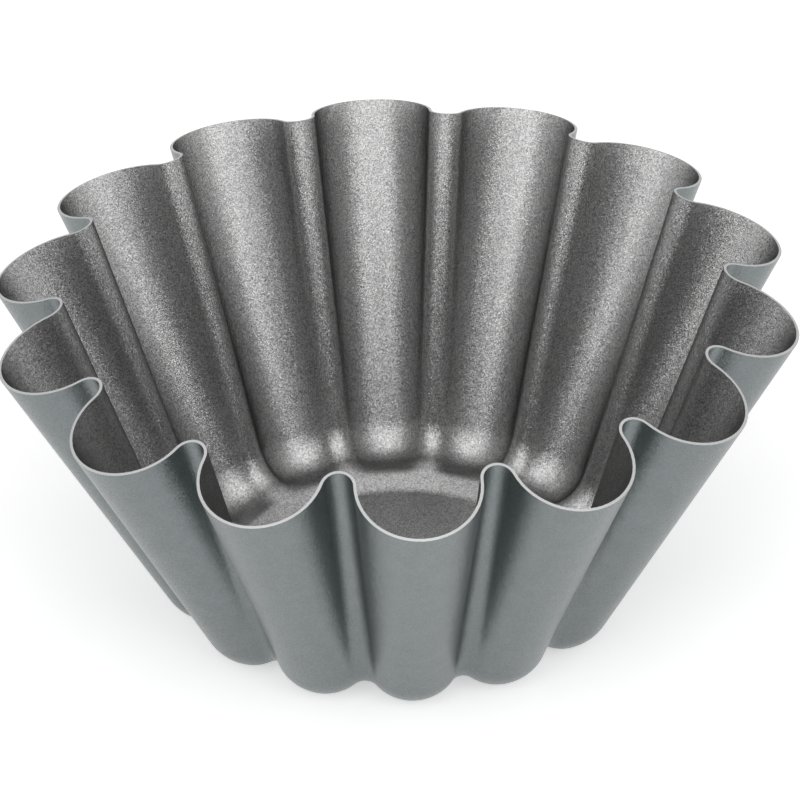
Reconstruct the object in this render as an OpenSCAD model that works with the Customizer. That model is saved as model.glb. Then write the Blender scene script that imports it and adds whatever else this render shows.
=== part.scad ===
// Fluted brioche mould: one blank of sheet steel pressed into a flared cup with rounded lobes,
// a non-stick lining baked on inside and a lacquer coat baked on outside.
// Millimetres. The mould stands on the XY plane, and Z is its axis. One lobe points along +X.

/* [Rim] */
// Diameter over the lobes at the rim
rim_d = 180; // [150:1:220]
// Height of the ridges at the rim above the table
height = 78.5; // [60:0.5:100]
// How far the rim dips in the middle of a lobe, below the ridges
rim_dip = 6.2; // [0:0.1:10]
// Number of flutes
flutes = 14; // [11:1:16]
// Depth of a flute at the rim
rim_depth = 16.1; // [10:0.1:18]
// Radius in the groove between two lobes at the rim
rim_groove_r = 3.3; // [2:0.1:4.5]

/* [Foot] */
// Diameter over the lobes where the line of the wall meets the table
foot_d = 102; // [90:1:120]
// Depth of a flute where the line of the wall meets the table
foot_depth = 3.8; // [2:0.1:6]
// Radius in the groove between two lobes at the foot of the wall
foot_groove_r = 4.2; // [2:0.1:6]
// Radius that rounds the foot of a lobe
lobe_foot_r = 13.8; // [10:0.1:15]
// Radius that rounds the foot of a ridge
ridge_foot_r = 10; // [6:0.1:12]
// Slope at which the rounded foot of the wall ends, in degrees
foot_slope = 20; // [10:1:30]
// Height of the foot of a ridge, the end of its rounding, above the table
ridge_foot_z = 3.1; // [2:0.1:4]

/* [Floor] */
// Outer diameter of the floor ring, where the toes of the flutes end
ring_d = 77.2; // [70:0.1:84]
// Diameter of the flat disc in the middle
disc_d = 67; // [55:0.1:69]
// Slope of the floor ring, in degrees
ring_slope = 22; // [14:0.5:26]

/* [Sheet] */
// Thickness of the steel
steel_t = 0.6; // [0.4:0.05:1]
// Thickness of the non-stick lining
lining_t = 0.05; // [0.03:0.01:0.1]
// Thickness of the lacquer coat
coat_t = 0.05; // [0.03:0.01:0.1]

/* [Hidden] */

// Facets along half a lobe, half a groove, the wall, the rounded foot and the toe of a flute
lobe_steps = 4;
groove_steps = 2;
wall_steps = 2;
foot_steps = 4;
toe_steps = 2;
// Powers: how late a toe bends, on a lobe and on a ridge, and how late the floor's points spread
lobe_bend = 1.5;
ridge_bend = 2.2;
fan = 2;

half_steps = lobe_steps + groove_steps;
flute_steps = 2 * half_steps;
columns = flutes * flute_steps;
half_pitch = 180 / flutes;

rim_lobe_r = rim_d / 2;
rim_ridge_r = rim_lobe_r - rim_depth;
foot_lobe_r = foot_d / 2;
foot_ridge_r = foot_lobe_r - foot_depth;

// Vector helpers
function unit(v) = v / norm(v);
function polar(r, a) = [r * cos(a), r * sin(a)];
function mix(a, b, t) = a + (b - a) * t;

// A flute's outline is a lobe arc tangent to the groove arcs on both sides.
// Radius of the lobe arc that reaches lobe_r, beside ridges at ridge_r with a groove of groove_r
function lobe_arc_r(lobe_r, ridge_r, groove_r) =
    let (k = polar(ridge_r + groove_r, half_pitch), gap = lobe_r - k.x)
    (gap * gap + k.y * k.y - groove_r * groove_r) / (2 * (groove_r + gap));

// Point number s of half a flute: 0 is the middle of the lobe, half_steps is on the ridge
function half_point(lobe_r, ridge_r, groove_r, s) =
    let (
        arc_r = lobe_arc_r(lobe_r, ridge_r, groove_r),
        lobe_c = [lobe_r - arc_r, 0],
        groove_c = polar(ridge_r + groove_r, half_pitch),
        to_groove = groove_c - lobe_c,
        join_a = atan2(to_groove.y, to_groove.x)
    )
    s <= lobe_steps
        ? lobe_c + polar(arc_r, join_a * s / lobe_steps)
        : groove_c + polar(groove_r, 180 + mix(join_a, half_pitch, (s - lobe_steps) / groove_steps));

// Point number s of a whole flute, from -half_steps on one ridge to half_steps on the next
function flute_point(lobe_r, ridge_r, groove_r, s) =
    let (p = half_point(lobe_r, ridge_r, groove_r, abs(s)))
    [p.x, s < 0 ? -p.y : p.y];

// Profiles are lists of [radius, height].
// Arc of radius r that rounds the foot of the wall line from rim down to the table at foot_r, and
// ends low_z above the table at foot_slope
function foot_arc(rim, foot_r, r, low_z) =
    let (
        in_dir = unit([foot_r, 0] - rim),
        out_dir = [-cos(foot_slope), -sin(foot_slope)],
        cos_turn = in_dir * out_dir,
        turn = acos(cos_turn),
        reach = r * tan(turn / 2),
        side = unit(out_dir - in_dir * cos_turn),
        corner = rim + in_dir * (low_z + reach * sin(foot_slope) - rim[1]) / in_dir[1],
        centre = corner - in_dir * reach + side * r
    )
    [for (i = [0 : foot_steps])
        let (a = turn * i / foot_steps)
        centre - side * r * cos(a) + in_dir * r * sin(a)];

rim_lobe = [rim_lobe_r, height - rim_dip];
rim_ridge = [rim_ridge_r, height];
lobe_arc = foot_arc(rim_lobe, foot_lobe_r, lobe_foot_r, 0);
ridge_arc = foot_arc(rim_ridge, foot_ridge_r, ridge_foot_r, ridge_foot_z);

// The floor ring is a cone around the disc, and the toes of the flutes end at its outer edge
disc_r = disc_d / 2;
toe_end = [ring_d / 2, tan(ring_slope) * (ring_d / 2 - disc_r)];

// From the start of the rounded foot along the toe to the edge of the disc
function profile(arc, bend) =
    let (low = arc[foot_steps])
    concat(
        arc,
        [for (i = [1 : toe_steps])
            let (t = i / toe_steps)
            [mix(low[0], toe_end[0], t), mix(low[1], toe_end[1], pow(t, bend))]],
        [[disc_r, 0]]
    );

lobe_profile = profile(lobe_arc, lobe_bend);
ridge_profile = profile(ridge_arc, ridge_bend);
floor_rows = len(lobe_profile) - 1;
rows = wall_steps + floor_rows + 1;

// How much of a lobe there is at point s of a flute: 0 on the ridge, 1 in the middle of the lobe
function lobe_share(lobe_r, ridge_r, p) = (norm(p) - ridge_r) / (lobe_r - ridge_r);

// The outer face of flute 0: the wall runs straight from the rim outline to the foot outline,
// and below it each point follows a mix of the lobe profile and the ridge profile.
function rim_point(s) =
    let (p = flute_point(rim_lobe_r, rim_ridge_r, rim_groove_r, s))
    [p.x, p.y, height - rim_dip * lobe_share(rim_lobe_r, rim_ridge_r, p)];

function foot_share(s) =
    lobe_share(foot_lobe_r, foot_ridge_r, flute_point(foot_lobe_r, foot_ridge_r, foot_groove_r, s));

function foot_point(s) =
    let (p = flute_point(foot_lobe_r, foot_ridge_r, foot_groove_r, s))
    [p.x, p.y, 0];

// Share of the straight wall that is left above the rounded foot
wall_share_lobe = 1 - lobe_arc[0][1] / rim_lobe[1];
wall_share_ridge = 1 - ridge_arc[0][1] / rim_ridge[1];

function wall_point(row, s) =
    mix(rim_point(s), foot_point(s),
        mix(wall_share_ridge, wall_share_lobe, foot_share(s)) * row / wall_steps);

function floor_point(k, s) =
    let (
        t = k / floor_rows,
        share = foot_share(s),
        start = wall_point(wall_steps, s),
        begin = mix(ridge_profile[0], lobe_profile[0], share),
        now = mix(ridge_profile[k], lobe_profile[k], share),
        r = now[0] + (norm([start.x, start.y]) - begin[0]) * (1 - t),
        z = now[1] + (start.z - begin[1]) * (1 - t),
        a = mix(atan2(start.y, start.x), half_pitch * s / half_steps, pow(t, fan)),
        p = polar(r, a)
    )
    [p.x, p.y, k == floor_rows ? 0 : z];

function flute_face_point(row, s) =
    row <= wall_steps ? wall_point(row, s) : floor_point(row - wall_steps, s);

function turned(p, a) = [p.x * cos(a) - p.y * sin(a), p.x * sin(a) + p.y * cos(a), p.z];

one_flute = [for (row = [0 : rows - 1])
    [for (s = [-half_steps : half_steps - 1]) flute_face_point(row, s)]];

outer_face = [for (row = [0 : rows - 1])
    [for (f = [0 : flutes - 1]) for (p = one_flute[row]) turned(p, 2 * half_pitch * f)]];

// Direction into the cup at each point of the outer face
function inward(row, i) =
    row == rows - 1
        ? [0, 0, 1]
        : let (
            across = outer_face[row][(i + 1) % columns] - outer_face[row][(i + columns - 1) % columns],
            down = outer_face[row + 1][i] - outer_face[max(row - 1, 0)][i]
        )
        unit(cross(across, down));

directions = [for (row = [0 : rows - 1]) [for (i = [0 : columns - 1]) inward(row, i)]];

// All points at depth d below the outer face, and last the middle of the disc
function face_at(d) = concat(
    [for (row = [0 : rows - 1]) for (i = [0 : columns - 1])
        outer_face[row][i] + directions[row][i] * d],
    [[0, 0, d]]
);

face_size = rows * columns + 1;

// Two triangles for the quad a b c d; the diagonals mirror each other about each lobe and ridge
function quad(a, b, c, d, first_half) =
    first_half ? [[a, b, c], [a, c, d]] : [[b, c, d], [b, d, a]];

function face_triangles(start) = concat(
    [for (row = [0 : rows - 2]) for (i = [0 : columns - 1])
        let (
            j = (i + 1) % columns,
            a = start + row * columns,
            b = a + columns
        )
        for (t = quad(a + i, a + j, b + j, b + i, i % flute_steps < half_steps)) t],
    [for (i = [0 : columns - 1])
        let (last = start + (rows - 1) * columns)
        [last + i, last + (i + 1) % columns, start + face_size - 1]]
);

function reversed(triangles) = [for (t = triangles) [t[0], t[2], t[1]]];

function rim_triangles() =
    [for (i = [0 : columns - 1])
        let (j = (i + 1) % columns)
        for (t = quad(face_size + i, face_size + j, j, i, i % flute_steps < half_steps)) t];

// A closed sheet between two depths below the outer face
module layer(from_d, to_d) {
    polyhedron(
        points = concat(face_at(from_d), face_at(to_d)),
        faces = concat(face_triangles(0), reversed(face_triangles(face_size)), rim_triangles())
    );
}

module outer_coat() {
    color([0.52, 0.55, 0.56]) layer(0, coat_t);
}

module steel_shell() {
    color([0.80, 0.81, 0.81]) layer(coat_t, coat_t + steel_t);
}

module nonstick_lining() {
    color([0.34, 0.34, 0.34]) layer(coat_t + steel_t, coat_t + steel_t + lining_t);
}

steel_shell();
nonstick_lining();
outer_coat();
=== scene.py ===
"""Brioche mould: a fluted cup of pressed steel, non-stick lining inside and lacquer coat outside.

Metres. The mould stands on the XY plane, Z is its axis, and one lobe points along +X.
"""

import math

import bmesh
import bpy
from mathutils import Matrix, Vector


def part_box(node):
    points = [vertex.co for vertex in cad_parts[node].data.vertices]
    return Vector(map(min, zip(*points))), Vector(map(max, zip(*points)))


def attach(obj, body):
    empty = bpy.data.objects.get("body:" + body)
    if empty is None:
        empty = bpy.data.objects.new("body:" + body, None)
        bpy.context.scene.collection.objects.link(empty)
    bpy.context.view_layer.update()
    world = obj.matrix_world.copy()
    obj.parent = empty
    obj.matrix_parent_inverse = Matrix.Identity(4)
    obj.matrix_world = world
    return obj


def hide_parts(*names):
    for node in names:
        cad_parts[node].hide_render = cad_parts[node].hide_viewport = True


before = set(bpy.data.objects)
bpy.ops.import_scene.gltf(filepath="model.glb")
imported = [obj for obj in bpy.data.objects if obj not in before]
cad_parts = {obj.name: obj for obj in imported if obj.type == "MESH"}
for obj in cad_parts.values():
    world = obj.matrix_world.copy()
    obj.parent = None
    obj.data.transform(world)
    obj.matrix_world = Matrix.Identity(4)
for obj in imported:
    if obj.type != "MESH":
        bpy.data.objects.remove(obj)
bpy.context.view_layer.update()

bl_info = {
    "name": "Brioche mould",
    "version": (1, 0, 0),
    "blender": (4, 5, 0),
    "location": "3D View > Sidebar > Mould",
    "description": "Models a fluted brioche mould of coated sheet steel, and a plain studio around it",
    "category": "Add Mesh",
}

MM = 0.001
CAD_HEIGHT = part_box("outer_coat")[1].z
CAD_RIM_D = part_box("outer_coat")[1].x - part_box("outer_coat")[0].x


class MouldSizes(bpy.types.PropertyGroup):
    """Sizes of the pressed sheet."""

    rim_d: bpy.props.FloatProperty(
        name="Rim diameter", description="Diameter over the lobes at the rim",
        default=CAD_RIM_D, min=0.15, max=0.22, unit="LENGTH")
    height: bpy.props.FloatProperty(
        name="Height", description="Height of the ridges at the rim above the table",
        default=CAD_HEIGHT, min=0.06, max=0.1, unit="LENGTH")
    rim_dip: bpy.props.FloatProperty(
        name="Rim dip", description="How far the rim dips in the middle of a lobe, below the ridges",
        default=6.2 * MM, min=0, max=10 * MM, unit="LENGTH")
    flutes: bpy.props.IntProperty(
        name="Flutes", description="Number of flutes", default=14, min=11, max=16)
    rim_depth: bpy.props.FloatProperty(
        name="Flute depth at the rim", description="Depth of a flute at the rim",
        default=16.1 * MM, min=10 * MM, max=18 * MM, unit="LENGTH")
    rim_groove_r: bpy.props.FloatProperty(
        name="Groove radius at the rim", description="Radius in the groove between two lobes at the rim",
        default=3.3 * MM, min=2 * MM, max=4.5 * MM, unit="LENGTH")
    foot_d: bpy.props.FloatProperty(
        name="Foot diameter",
        description="Diameter over the lobes where the line of the wall meets the table",
        default=102 * MM, min=90 * MM, max=120 * MM, unit="LENGTH")
    foot_depth: bpy.props.FloatProperty(
        name="Flute depth at the foot",
        description="Depth of a flute where the line of the wall meets the table",
        default=3.8 * MM, min=2 * MM, max=6 * MM, unit="LENGTH")
    foot_groove_r: bpy.props.FloatProperty(
        name="Groove radius at the foot",
        description="Radius in the groove between two lobes at the foot of the wall",
        default=4.2 * MM, min=2 * MM, max=6 * MM, unit="LENGTH")
    lobe_foot_r: bpy.props.FloatProperty(
        name="Lobe foot radius", description="Radius that rounds the foot of a lobe",
        default=13.8 * MM, min=10 * MM, max=15 * MM, unit="LENGTH")
    ridge_foot_r: bpy.props.FloatProperty(
        name="Ridge foot radius", description="Radius that rounds the foot of a ridge",
        default=10 * MM, min=6 * MM, max=12 * MM, unit="LENGTH")
    ridge_foot_z: bpy.props.FloatProperty(
        name="Ridge foot height",
        description="Height of the foot of a ridge, the end of its rounding, above the table",
        default=3.1 * MM, min=2 * MM, max=4 * MM, unit="LENGTH")
    foot_slope: bpy.props.FloatProperty(
        name="Foot slope", description="Slope at which the rounded foot of the wall ends",
        default=math.radians(20), min=math.radians(10), max=math.radians(30), unit="ROTATION")
    ring_d: bpy.props.FloatProperty(
        name="Ring diameter",
        description="Outer diameter of the floor ring, where the toes of the flutes end",
        default=77.2 * MM, min=70 * MM, max=84 * MM, unit="LENGTH")
    disc_d: bpy.props.FloatProperty(
        name="Disc diameter", description="Diameter of the flat disc in the floor",
        default=67 * MM, min=55 * MM, max=69 * MM, unit="LENGTH")
    ring_slope: bpy.props.FloatProperty(
        name="Ring slope", description="Slope of the floor ring",
        default=math.radians(22), min=math.radians(14), max=math.radians(26), unit="ROTATION")
    steel_t: bpy.props.FloatProperty(
        name="Steel thickness", description="Thickness of the steel sheet",
        default=0.6 * MM, min=0.4 * MM, max=1 * MM, unit="LENGTH")
    lining_t: bpy.props.FloatProperty(
        name="Lining thickness", description="Thickness of the non-stick lining",
        default=0.05 * MM, min=0.03 * MM, max=0.1 * MM, unit="LENGTH")
    coat_t: bpy.props.FloatProperty(
        name="Coat thickness", description="Thickness of the lacquer coat",
        default=0.05 * MM, min=0.03 * MM, max=0.1 * MM, unit="LENGTH")
    press_r: bpy.props.FloatProperty(
        name="Press radius", description="Radius that softens the creases of the floor",
        default=1.1 * MM, min=0.2 * MM, max=2 * MM, unit="LENGTH")


class MouldFinish(bpy.types.PropertyGroup):
    """Colours and grain of the finishes."""

    lining_colour: bpy.props.FloatVectorProperty(
        name="Lining", description="Colour of the non-stick lining",
        default=(0.33, 0.33, 0.328), size=3, min=0, max=1, subtype="COLOR")
    lining_grain: bpy.props.FloatProperty(
        name="Grain size", description="Size of a speck of the grain that shows in the non-stick lining",
        default=0.28 * MM, min=0.1 * MM, max=2 * MM, unit="LENGTH")
    flake_size: bpy.props.FloatProperty(
        name="Flake size",
        description="Size of a metal flake in both finishes, too fine to be seen alone",
        default=0.09 * MM, min=0.05 * MM, max=0.5 * MM, unit="LENGTH")
    flake_roughness: bpy.props.FloatProperty(
        name="Flake roughness", description="Roughness of a single flake",
        default=0.28, min=0, max=1, subtype="FACTOR")
    flake_tilt: bpy.props.FloatProperty(
        name="Flake tilt", description="How far the flakes lean out of the surface",
        default=0.4, min=0, max=1, subtype="FACTOR")
    coat_colour: bpy.props.FloatVectorProperty(
        name="Coat", description="Colour of the lacquer coat",
        default=(0.188, 0.207, 0.21), size=3, min=0, max=1, subtype="COLOR")
    steel_colour: bpy.props.FloatVectorProperty(
        name="Steel", description="Colour of the bare cut edge",
        default=(0.5, 0.505, 0.5), size=3, min=0, max=1, subtype="COLOR")
    floor_colour: bpy.props.FloatVectorProperty(
        name="Floor", description="Colour of the studio floor",
        default=(0.92, 0.92, 0.92), size=3, min=0, max=1, subtype="COLOR")


class MouldStudio(bpy.types.PropertyGroup):
    """Place of the camera."""

    aim: bpy.props.FloatVectorProperty(
        name="Aim", description="Point in the middle of the picture",
        default=(-3.1 * MM, -13.7 * MM, 57.6 * MM), size=3, subtype="TRANSLATION", unit="LENGTH")
    distance: bpy.props.FloatProperty(
        name="Distance", description="From the camera to the point in the middle of the picture",
        default=1.511, min=0.5, max=5, unit="LENGTH")
    elevation: bpy.props.FloatProperty(
        name="Elevation", description="Angle of the camera above the table",
        default=math.radians(33.81), min=0, max=math.radians(90), unit="ROTATION")
    azimuth: bpy.props.FloatProperty(
        name="Azimuth", description="Angle from +X to the side on which the camera stands",
        default=math.radians(-106.23), unit="ROTATION")
    roll: bpy.props.FloatProperty(
        name="Roll", description="Turn of the picture around the line of sight",
        default=math.radians(-1.06), unit="ROTATION")
    lens: bpy.props.FloatProperty(
        name="Lens", description="Focal length, for a sensor 36 mm wide",
        default=307.5, min=20, max=600, unit="CAMERA")


# Steps along half a flute and down the sheet
LOBE_STEPS = 14
GROOVE_STEPS = 7
HALF_STEPS = LOBE_STEPS + GROOVE_STEPS
WALL_STEPS = 12
FOOT_STEPS = 12
TOE_STEPS = 3
RING_STEPS = 2
CREASE_STEPS = 5
# Radii of the rings of faces on the disc, as shares of its own radius
DISC_RINGS = (0.75, 0.5, 0.25)
# Where the rounded foot and the toe stop, as shares of the way from the straight wall to the disc
FOOT_SHARE = 4 / 7
END_SHARE = 6 / 7
# How much wider the crease at the lowest point is softened than the others
LOW_CREASE = 2.2
# Powers: how late a toe bends, on a lobe and on a ridge, and how late the floor's points spread
LOBE_BEND = 1.5
RIDGE_BEND = 2.2
FAN = 2
# Vertices nearer than this are one vertex
WELD = 0.01 * MM
# Faces that meet at more than this stay sharp, as at the cut edge
CUT_EDGE_ANGLE = math.radians(40)


def mix(a, b, t):
    return a + (b - a) * t


def polar(r, a):
    return Vector((r * math.cos(a), r * math.sin(a)))


class FluteShape:
    """The outer face of half a flute, from the middle of a lobe to a ridge and from rim to disc."""

    def __init__(self, sizes):
        self.s = s = sizes
        self.half_pitch = math.pi / s.flutes
        rim_lobe = Vector((s.rim_d / 2, s.height - s.rim_dip))
        rim_ridge = Vector((s.rim_d / 2 - s.rim_depth, s.height))
        foot_lobe_r, foot_ridge_r = s.foot_d / 2, s.foot_d / 2 - s.foot_depth
        self.disc_r = s.disc_d / 2
        self.toe_end = Vector((s.ring_d / 2, self.ring_z(s.ring_d / 2)))
        self.lobe_arc = self.foot_arc(rim_lobe, foot_lobe_r, s.lobe_foot_r, 0)
        self.ridge_arc = self.foot_arc(rim_ridge, foot_ridge_r, s.ridge_foot_r, s.ridge_foot_z)
        # Share of the wall's line that is straight, above the rounded foot, on a lobe and on a ridge
        self.wall_share_lobe = 1 - self.lobe_arc(0).y / rim_lobe.y
        self.wall_share_ridge = 1 - self.ridge_arc(0).y / rim_ridge.y
        # Where a crease is softened: its share of the way down, and the reach above and below it
        arc_l = (self.lobe_arc(1) - self.lobe_arc(0)).length
        toe_l = (self.lobe_arc(1) - self.toe_end).length
        arc_reach = FOOT_SHARE * s.press_r / arc_l
        toe_reach = (END_SHARE - FOOT_SHARE) * s.press_r / toe_l
        ring_reach = (1 - END_SHARE) * s.press_r / (self.toe_end.x - self.disc_r)
        self.creases = (
            (FOOT_SHARE, arc_reach * LOW_CREASE, toe_reach * LOW_CREASE),
            (END_SHARE, toe_reach, ring_reach),
            (1, ring_reach, ring_reach),
        )

    def ring_z(self, r):
        """Height of the floor ring at radius r."""
        return math.tan(self.s.ring_slope) * (r - self.disc_r)

    def foot_arc(self, rim, foot_r, r, low_z):
        """Function of 0 to 1 along the arc from the wall's line to its end, which lies at low_z."""
        slope = self.s.foot_slope
        into = (Vector((foot_r, 0)) - rim).normalized()
        out = Vector((-math.cos(slope), -math.sin(slope)))
        turn = math.acos(into.dot(out))
        reach = r * math.tan(turn / 2)
        side = (out - into * into.dot(out)).normalized()
        corner = rim + into * (low_z + reach * math.sin(slope) - rim.y) / into.y
        centre = corner - into * reach + side * r
        return lambda t: centre - side * r * math.cos(turn * t) + into * r * math.sin(turn * t)

    def outline(self, lobe_r, ridge_r, groove_r, step):
        """Point number step of half an outline: a lobe arc, and then a groove arc that touches it."""
        groove_c = polar(ridge_r + groove_r, self.half_pitch)
        gap = lobe_r - groove_c.x
        arc_r = (gap * gap + groove_c.y ** 2 - groove_r ** 2) / (2 * (groove_r + gap))
        lobe_c = Vector((lobe_r - arc_r, 0))
        join = math.atan2(groove_c.y, groove_c.x - lobe_c.x)
        if step <= LOBE_STEPS:
            return lobe_c + polar(arc_r, join * step / LOBE_STEPS)
        along = (step - LOBE_STEPS) / GROOVE_STEPS
        return groove_c + polar(groove_r, math.pi + mix(join, self.half_pitch, along))

    def rim(self, step):
        """Point of the rim."""
        lobe_r, ridge_r = self.s.rim_d / 2, self.s.rim_d / 2 - self.s.rim_depth
        p = self.outline(lobe_r, ridge_r, self.s.rim_groove_r, step)
        share = (p.length - ridge_r) / (lobe_r - ridge_r)
        return Vector((p.x, p.y, self.s.height - self.s.rim_dip * share))

    def foot(self, step):
        """Where the wall's line meets the table, and the share of a lobe there, 0 on a ridge."""
        lobe_r, ridge_r = self.s.foot_d / 2, self.s.foot_d / 2 - self.s.foot_depth
        p = self.outline(lobe_r, ridge_r, self.s.foot_groove_r, step)
        share = (p.length - ridge_r) / (lobe_r - ridge_r)
        return Vector((p.x, p.y, 0)), share

    def wall_end(self, step):
        """Where the straight wall passes into the rounded foot."""
        foot, share = self.foot(step)
        return self.rim(step).lerp(foot, mix(self.wall_share_ridge, self.wall_share_lobe, share))

    def profile(self, arc, bend, t):
        """Radius and height along the rounded foot, the toe and the floor ring, at t from 0 to 1."""
        if t <= FOOT_SHARE:
            return arc(t / FOOT_SHARE)
        if t <= END_SHARE:
            low, k = arc(1), (t - FOOT_SHARE) / (END_SHARE - FOOT_SHARE)
            return Vector((mix(low.x, self.toe_end.x, k), mix(low.y, self.toe_end.y, k ** bend)))
        r = mix(self.toe_end.x, self.disc_r, (t - END_SHARE) / (1 - END_SHARE))
        return Vector((r, max(self.ring_z(r), 0)))

    def mid_profile(self, t, share):
        """The same, at a share of the way from a ridge to the middle of a lobe."""
        ridge = self.profile(self.ridge_arc, RIDGE_BEND, t)
        return ridge.lerp(self.profile(self.lobe_arc, LOBE_BEND, t), share)

    def pressed(self, t, step):
        """Point below the wall: t is 0 at the wall's end and 1 at the disc's edge, and more past it."""
        share = self.foot(step)[1]
        start = self.wall_end(step)
        begin = self.mid_profile(0, share)
        now = self.mid_profile(t, share)
        left = max(1 - t, 0)
        r = now.x + (start.xy.length - begin.x) * left
        z = now.y + (start.z - begin.y) * left
        spread = self.half_pitch * step / HALF_STEPS
        p = polar(r, mix(math.atan2(start.y, start.x), spread, t ** FAN))
        return Vector((p.x, p.y, z))

    def floor(self, t, step):
        """The same, with the creases softened."""
        for crease, above, below in self.creases:
            if crease - above < t < crease + below:
                a, b, c = (self.pressed(crease + reach, step) for reach in (-above, 0, below))
                k = (t - crease + above) / (above + below)
                return a.lerp(b, k).lerp(b.lerp(c, k), k)
        return self.pressed(t, step)

    def floor_rows(self):
        """Where the rows of vertices lie, from the wall's end to the disc."""
        stretches = []
        last = 0
        for (crease, above, below), steps in zip(self.creases, (FOOT_STEPS, TOE_STEPS, RING_STEPS)):
            stretches += [(last, crease - above, steps), (crease - above, crease + below, CREASE_STEPS)]
            last = crease + below
        return [mix(a, b, i / steps) for a, b, steps in stretches for i in range(1, steps + 1)]


def choose(mesh, kind, wanted):
    """In edit mode, select the vertices or edges for which wanted is true, and nothing else."""
    bpy.ops.mesh.select_mode(type=kind)
    bpy.ops.mesh.select_all(action="DESELECT")
    bm = bmesh.from_edit_mesh(mesh)
    for item in {"VERT": bm.verts, "EDGE": bm.edges}[kind]:
        item.select = wanted(item)
    bm.select_flush_mode()
    bmesh.update_edit_mesh(mesh)


def angle_of(vertex):
    return math.atan2(vertex.co.y, vertex.co.x)


def place_row(mesh, row, places):
    """In edit mode, move the vertices of one row, given by their indices, to their places."""
    for index, place in zip(row, places):
        choose(mesh, "VERT", lambda v: v.index == index)
        bm = bmesh.from_edit_mesh(mesh)
        bm.verts.ensure_lookup_table()
        bpy.ops.transform.translate(value=place - bm.verts[index].co)


def extrude_row(mesh, row, places):
    """In edit mode, extrude a row of vertices to new places, and return the indices of the new row."""
    bottom = set(row)
    choose(mesh, "EDGE", lambda e: all(v.index in bottom for v in e.verts))
    bpy.ops.mesh.extrude_edges_move()
    bm = bmesh.from_edit_mesh(mesh)
    bm.verts.index_update()
    made = [v.index for v in sorted((v for v in bm.verts if v.select), key=angle_of)]
    place_row(mesh, made, places)
    return made


def model_half_flute(shape):
    """Lay a grid on the straight wall, and extrude the rows of the foot and the floor from it."""
    bpy.ops.object.select_all(action="DESELECT")
    bpy.ops.mesh.primitive_grid_add(x_subdivisions=HALF_STEPS, y_subdivisions=1, size=shape.s.height)
    mesh = bpy.context.object.data
    steps = range(HALF_STEPS + 1)
    low_row, rim_row = list(steps), [HALF_STEPS + 1 + i for i in steps]
    bpy.ops.object.mode_set(mode="EDIT")
    place_row(mesh, low_row, [shape.wall_end(i) for i in steps])
    place_row(mesh, rim_row, [shape.rim(i) for i in steps])
    choose(mesh, "EDGE", lambda e: abs(e.verts[0].index - e.verts[1].index) > HALF_STEPS)
    bpy.ops.mesh.subdivide(number_cuts=WALL_STEPS - 1)
    for t in shape.floor_rows():
        low_row = extrude_row(mesh, low_row, [shape.floor(t, i) for i in steps])
    return mesh


def model_sheet(sizes, name):
    """The outer face of the whole pressed sheet, as an open mesh with its faces outwards."""
    shape = FluteShape(sizes)
    mesh = model_half_flute(shape)
    bpy.ops.mesh.select_all(action="SELECT")
    bpy.ops.mesh.symmetrize(direction="POSITIVE_Y", threshold=WELD)
    bpy.ops.mesh.select_all(action="SELECT")
    copies = sizes.flutes - 1
    bpy.ops.mesh.spin(steps=copies, dupli=True, angle=2 * math.pi * copies / sizes.flutes,
                      center=(0, 0, 0), axis=(0, 0, 1))
    bpy.ops.mesh.select_all(action="SELECT")
    bpy.ops.mesh.remove_doubles(threshold=WELD)
    close_disc(mesh, shape)
    bpy.ops.mesh.select_all(action="SELECT")
    bpy.ops.mesh.normals_make_consistent(inside=False)
    bpy.ops.object.mode_set(mode="OBJECT")
    piece = bpy.context.object
    piece.name = name
    piece.data.name = name
    bpy.context.scene.cursor.location = (0, 0, 0)
    bpy.ops.object.origin_set(type="ORIGIN_CURSOR")
    return piece


def close_disc(mesh, shape):
    """In edit mode, run rings inwards over the flat disc and merge the last one in the middle."""
    inner = shape.toe_end.x
    choose(mesh, "EDGE", lambda e: e.is_boundary and all(v.co.xy.length < inner for v in e.verts))
    last = 1
    for share in DISC_RINGS:
        bpy.ops.mesh.extrude_edges_move()
        bpy.ops.transform.resize(value=(share / last, share / last, 1), center_override=(0, 0, 0))
        last = share
    bpy.ops.mesh.extrude_edges_move()
    bpy.ops.mesh.merge(type="CENTER")


def give_thickness(piece, depth, thickness):
    """Turn the sheet's outer face into a closed layer that starts at a depth below that face."""
    layer = piece.modifiers.new("layer", "SOLIDIFY")
    layer.thickness = thickness
    layer.offset = -1 - 2 * depth / thickness
    layer.use_even_offset = True
    bpy.ops.object.modifier_apply(modifier=layer.name)
    bpy.ops.object.shade_smooth_by_angle(angle=CUT_EDGE_ANGLE)


def finish_piece(piece, material, node):
    """Dress a piece, hide the CAD node that it stands for, and attach it to the root body."""
    piece.data.materials.append(material)
    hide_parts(node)
    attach(piece, "root")


class Value:
    """A socket in a node tree, on which sums are written as on a number."""

    def __init__(self, nodes, socket):
        self.nodes = nodes
        self.socket = socket

    def maths(self, operation, a, b):
        return self.nodes.add("ShaderNodeMath", {"operation": operation}, {0: a, 1: b})

    def __add__(self, other):
        return self.maths("ADD", self, other)

    def __sub__(self, other):
        return self.maths("SUBTRACT", self, other)

    def __rsub__(self, other):
        return self.maths("SUBTRACT", other, self)

    def __mul__(self, other):
        return self.maths("MULTIPLY", self, other)

    def __or__(self, other):
        return self.maths("MAXIMUM", self, other)

    __radd__ = __add__
    __rmul__ = __mul__


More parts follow.
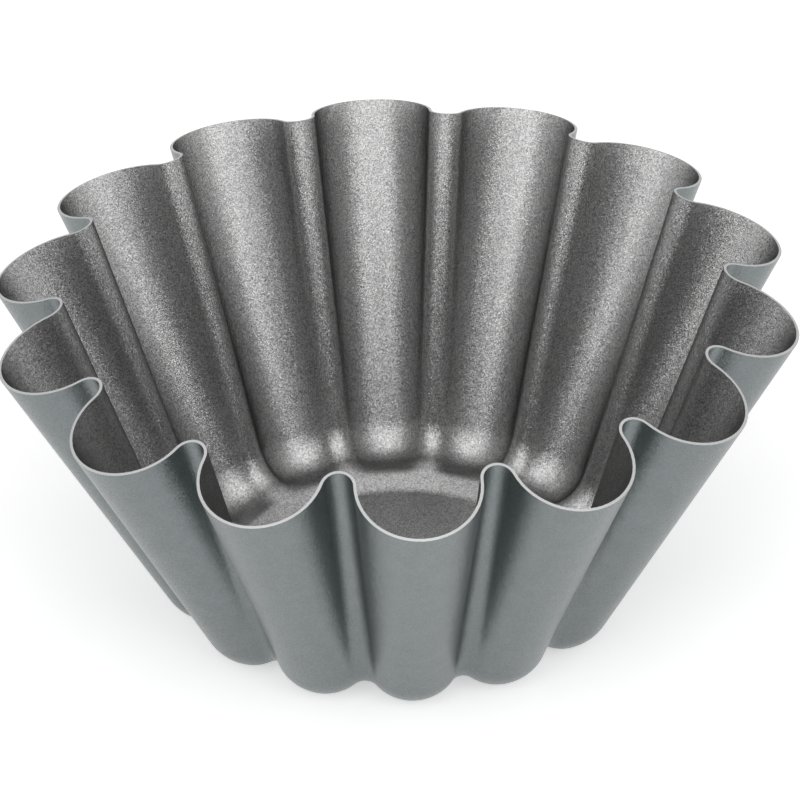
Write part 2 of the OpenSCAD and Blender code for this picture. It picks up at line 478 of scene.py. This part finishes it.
class Nodes:
    """The node tree of a material or a world."""

    def __init__(self, owner):
        owner.use_nodes = True
        self.tree = owner.node_tree
        self.tree.nodes.clear()

    def add(self, kind, settings=None, inputs=None, output=0):
        """Add a node, with its settings first and then the values or links of its sockets."""
        node = self.tree.nodes.new(kind)
        for name, value in (settings or {}).items():
            setattr(node, name, value)
        for name, value in (inputs or {}).items():
            if isinstance(value, Value):
                self.tree.links.new(value.socket, node.inputs[name])
            else:
                node.inputs[name].default_value = value
        return Value(self, node.outputs[output]) if node.outputs else None

    def place(self):
        """The piece's own coordinates, in metres."""
        return self.add("ShaderNodeTexCoord", output="Object")

    def noise(self, size):
        """Soft noise around 0.5 whose patches are about size across."""
        return self.add("ShaderNodeTexNoise", None, {"Vector": self.place(), "Scale": 1 / size})

    def flakes(self, size):
        """Cells about size across, each with a random colour of its own."""
        return self.add("ShaderNodeTexVoronoi", None,
                        {"Vector": self.place(), "Scale": 1 / size}, "Color")

    def tinted(self, colour, factor):
        """A colour made lighter or darker by a factor around 1."""
        return self.vector("SCALE", tuple(colour), factor)

    def vector(self, operation, a, b=None):
        """Vector Math on one or two vectors. SCALE takes a number as its second value."""
        second = {} if b is None else {"Scale" if operation == "SCALE" else 1: b}
        return self.add("ShaderNodeVectorMath", {"operation": operation}, {0: a, **second})

    def tilted(self, *leans):
        """The surface's normal, leant over by cells of random colour, each given with its strength."""
        normal = self.add("ShaderNodeNewGeometry", output="Normal")
        for cells, strength in leans:
            lean = self.vector("SUBTRACT", cells, (0.5, 0.5, 0.5))
            normal = self.vector("ADD", normal, self.vector("SCALE", lean, strength))
        return self.vector("NORMALIZE", normal)

    def surface(self, **inputs):
        """End a material in a Principled shader. Its sockets are given with _ in place of a space."""
        shader = self.add("ShaderNodeBsdfPrincipled", {"distribution": "GGX"},
                          {name.replace("_", " "): value for name, value in inputs.items()})
        self.add("ShaderNodeOutputMaterial", None, {"Surface": shader})


# How much the lining's grain changes its tone, and how far it leans the surface
LINING_CONTRAST = 0.9
GRAIN_TILT = 0.02
# Tint of what the lining reflects at a glancing angle
LINING_EDGE_TINT = (0.3, 0.3, 0.3, 1)
# Soft noise in the coat and on the cut edge: its size, and how much it changes their tone
MOTTLE_SIZE, MOTTLE_CONTRAST = 4 * MM, 0.2
COAT_GRAIN, COAT_CONTRAST = 0.5 * MM, 0.5
STEEL_GRAIN, STEEL_CONTRAST = 0.3 * MM, 0.3


def lining_material(finish):
    """Dark metallic non-stick lining: fine flakes at all angles, under a grain that shows."""
    material = bpy.data.materials.new("nonstick lining")
    nodes = Nodes(material)
    grain = nodes.flakes(finish.lining_grain)
    nodes.surface(
        Base_Color=nodes.tinted(finish.lining_colour, 1 + (grain - 0.5) * LINING_CONTRAST),
        Metallic=1.0,
        Specular_Tint=LINING_EDGE_TINT,
        Roughness=finish.flake_roughness,
        Normal=nodes.tilted((nodes.flakes(finish.flake_size), finish.flake_tilt), (grain, GRAIN_TILT)),
    )
    return material


def coat_material(finish):
    """Satin blue-grey lacquer: fine flakes under a faint mottle."""
    material = bpy.data.materials.new("lacquer coat")
    nodes = Nodes(material)
    mottle = (nodes.noise(MOTTLE_SIZE) - 0.5) * MOTTLE_CONTRAST
    grain = (nodes.noise(COAT_GRAIN) - 0.5) * COAT_CONTRAST
    nodes.surface(
        Base_Color=nodes.tinted(finish.coat_colour, 1 + mottle + grain),
        Metallic=1.0,
        Roughness=finish.flake_roughness,
        Normal=nodes.tilted((nodes.flakes(finish.flake_size), finish.flake_tilt)),
    )
    return material


def steel_material(finish):
    """Bare cut edge of rolled sheet."""
    material = bpy.data.materials.new("bare steel")
    nodes = Nodes(material)
    grain = nodes.noise(STEEL_GRAIN) - 0.5
    nodes.surface(
        Base_Color=nodes.tinted(finish.steel_colour, 1 + grain * STEEL_CONTRAST),
        Metallic=0.6,
        Roughness=0.4 + grain * 0.2,
    )
    return material


class MOULD_OT_outer_coat(bpy.types.Operator):
    """Model the lacquer coat on the outside of the sheet"""

    bl_idname = "mould.outer_coat"
    bl_label = "Outer coat"

    def execute(self, context):
        sizes, finish = context.scene.mould_sizes, context.scene.mould_finish
        piece = model_sheet(sizes, "lacquer_coat")
        give_thickness(piece, 0, sizes.coat_t)
        finish_piece(piece, coat_material(finish), "outer_coat")
        return {"FINISHED"}


class MOULD_OT_steel_shell(bpy.types.Operator):
    """Model the pressed steel sheet, whose cut edge shows all round the rim"""

    bl_idname = "mould.steel_shell"
    bl_label = "Steel shell"

    def execute(self, context):
        sizes, finish = context.scene.mould_sizes, context.scene.mould_finish
        piece = model_sheet(sizes, "pressed_sheet")
        give_thickness(piece, sizes.coat_t, sizes.steel_t)
        finish_piece(piece, steel_material(finish), "steel_shell")
        return {"FINISHED"}


class MOULD_OT_nonstick_lining(bpy.types.Operator):
    """Model the non-stick lining on the inside of the sheet"""

    bl_idname = "mould.nonstick_lining"
    bl_label = "Non-stick lining"

    def execute(self, context):
        sizes, finish = context.scene.mould_sizes, context.scene.mould_finish
        piece = model_sheet(sizes, "baked_lining")
        give_thickness(piece, sizes.coat_t + sizes.steel_t, sizes.lining_t)
        finish_piece(piece, lining_material(finish), "nonstick_lining")
        return {"FINISHED"}


class MOULD_OT_studio(bpy.types.Operator):
    """Set up the floor, the lamps and the camera"""

    bl_idname = "mould.studio"
    bl_label = "Studio"

    def execute(self, context):
        lay_floor(context.scene.mould_finish)
        light_world(context.scene)
        for lamp in LAMPS:
            hang_lamp(*lamp)
        place_camera(context.scene)
        context.scene.view_settings.view_transform = "Standard"
        return {"FINISHED"}


# Strength of the white tent's light on matt surfaces
TENT = 0.4
# Radius of the floor, and the glow that lifts it to white
FLOOR_R = 12
FLOOR_GLOW = 0.45
# Soft boxes: name, angle from +X and angle above the table in degrees, distance, width, length
# and power in watts
LAMPS = (
    ("left box", -139, 32, 1.5, 0.8, 0.9, 4.5),
    ("right box", -73, 32, 1.5, 0.8, 0.9, 4.3),
    ("top box", -106, 72, 1.5, 1.4, 0.8, 4.9),
    ("back box", 74, 64, 1.5, 1.4, 0.6, 1.2),
    ("left low box", 174, 10, 1.5, 0.9, 0.5, 1.2),
    ("right low box", -26, 10, 1.5, 0.9, 0.5, 1.3),
    ("front low box", -106, 8, 1.8, 1.2, 0.4, 3.3),
)
LIGHT_TARGET = Vector((0, 0, 40 * MM))


def direction(side, rise):
    """Unit vector towards an angle from +X and an angle above the table."""
    return Vector((math.cos(side) * math.cos(rise), math.sin(side) * math.cos(rise), math.sin(rise)))


def hang_lamp(name, side, rise, distance, width, length, power):
    """Hang a soft box that faces the mould."""
    away = direction(math.radians(side), math.radians(rise))
    bpy.ops.object.light_add(type="AREA", location=LIGHT_TARGET + away * distance)
    lamp = bpy.context.object
    lamp.name = name
    lamp.rotation_euler = away.to_track_quat("Z", "Y").to_euler()
    lamp.data.shape = "RECTANGLE"
    lamp.data.size = width
    lamp.data.size_y = length
    lamp.data.energy = power


def seen_plainly(nodes):
    """1 for the camera's view, also by way of metal or glass, and 0 for the light on matt surfaces."""
    rays = ("Is Camera Ray", "Is Glossy Ray", "Is Transmission Ray")
    camera, glossy, through = (nodes.add("ShaderNodeLightPath", output=ray) for ray in rays)
    return camera | glossy | through


def lay_floor(finish):
    """A wide pale floor, which is seen as white outside the shadow."""
    bpy.ops.mesh.primitive_circle_add(vertices=96, radius=FLOOR_R, fill_type="NGON", location=(0, 0, 0))
    floor = bpy.context.object
    floor.name = "studio_floor"
    material = bpy.data.materials.new("studio floor")
    nodes = Nodes(material)
    diffuse = nodes.add("ShaderNodeBsdfDiffuse", None, {"Color": (*finish.floor_colour, 1)})
    glow = nodes.add("ShaderNodeEmission", None, {"Strength": seen_plainly(nodes) * FLOOR_GLOW})
    both = nodes.add("ShaderNodeAddShader", None, {0: diffuse, 1: glow})
    nodes.add("ShaderNodeOutputMaterial", None, {"Surface": both})
    floor.data.materials.append(material)


def light_world(scene):
    """A white tent: plain white where it is seen, also in the metal, and weaker on matt surfaces."""
    scene.world = bpy.data.worlds.new("studio")
    nodes = Nodes(scene.world)
    light = nodes.add("ShaderNodeBackground", None, {"Color": (1, 1, 1, 1), "Strength": TENT})
    white = nodes.add("ShaderNodeBackground", None, {"Color": (1, 1, 1, 1), "Strength": 1.0})
    both = nodes.add("ShaderNodeMixShader", None, {0: seen_plainly(nodes), 1: light, 2: white})
    nodes.add("ShaderNodeOutputWorld", None, {"Surface": both})


# Width of the camera's sensor in millimetres
SENSOR_W = 36


def place_camera(scene):
    """Put the camera where the picture was taken from."""
    studio = scene.mould_studio
    back = direction(studio.azimuth, studio.elevation)
    right = Vector((0, 0, 1)).cross(back).normalized()
    level = Matrix((right, back.cross(right), back)).transposed()
    bpy.ops.object.camera_add(location=Vector(studio.aim) + back * studio.distance)
    camera = bpy.context.object
    camera.rotation_euler = (level @ Matrix.Rotation(studio.roll, 3, "Z")).to_euler()
    camera.data.sensor_width = SENSOR_W
    camera.data.lens = studio.lens
    camera.data.clip_end = 50
    scene.camera = camera


class MOULD_PT_panel(bpy.types.Panel):
    """Lists the mould's pieces and sizes"""

    bl_label = "Brioche mould"
    bl_idname = "MOULD_PT_panel"
    bl_space_type = "VIEW_3D"
    bl_region_type = "UI"
    bl_category = "Mould"

    def draw(self, context):
        scene, layout = context.scene, self.layout
        for group in (scene.mould_sizes, scene.mould_finish, scene.mould_studio):
            box = layout.box()
            for name in group.bl_rna.properties.keys():
                if name not in ("rna_type", "name"):
                    box.prop(group, name)
        for operator in PIECES + (MOULD_OT_studio,):
            layout.operator(operator.bl_idname)


PIECES = (MOULD_OT_outer_coat, MOULD_OT_steel_shell, MOULD_OT_nonstick_lining)
GROUPS = {"mould_sizes": MouldSizes, "mould_finish": MouldFinish, "mould_studio": MouldStudio}
CLASSES = tuple(GROUPS.values()) + PIECES + (MOULD_OT_studio, MOULD_PT_panel)


def register():
    for cls in CLASSES:
        bpy.utils.register_class(cls)
    for name, group in GROUPS.items():
        setattr(bpy.types.Scene, name, bpy.props.PointerProperty(type=group))


def unregister():
    for name in GROUPS:
        delattr(bpy.types.Scene, name)
    for cls in reversed(CLASSES):
        bpy.utils.unregister_class(cls)


def main():
    register()
    bpy.ops.mould.outer_coat()
    bpy.ops.mould.steel_shell()
    bpy.ops.mould.nonstick_lining()
    bpy.ops.mould.studio()


if __name__ == "__main__":
    main()
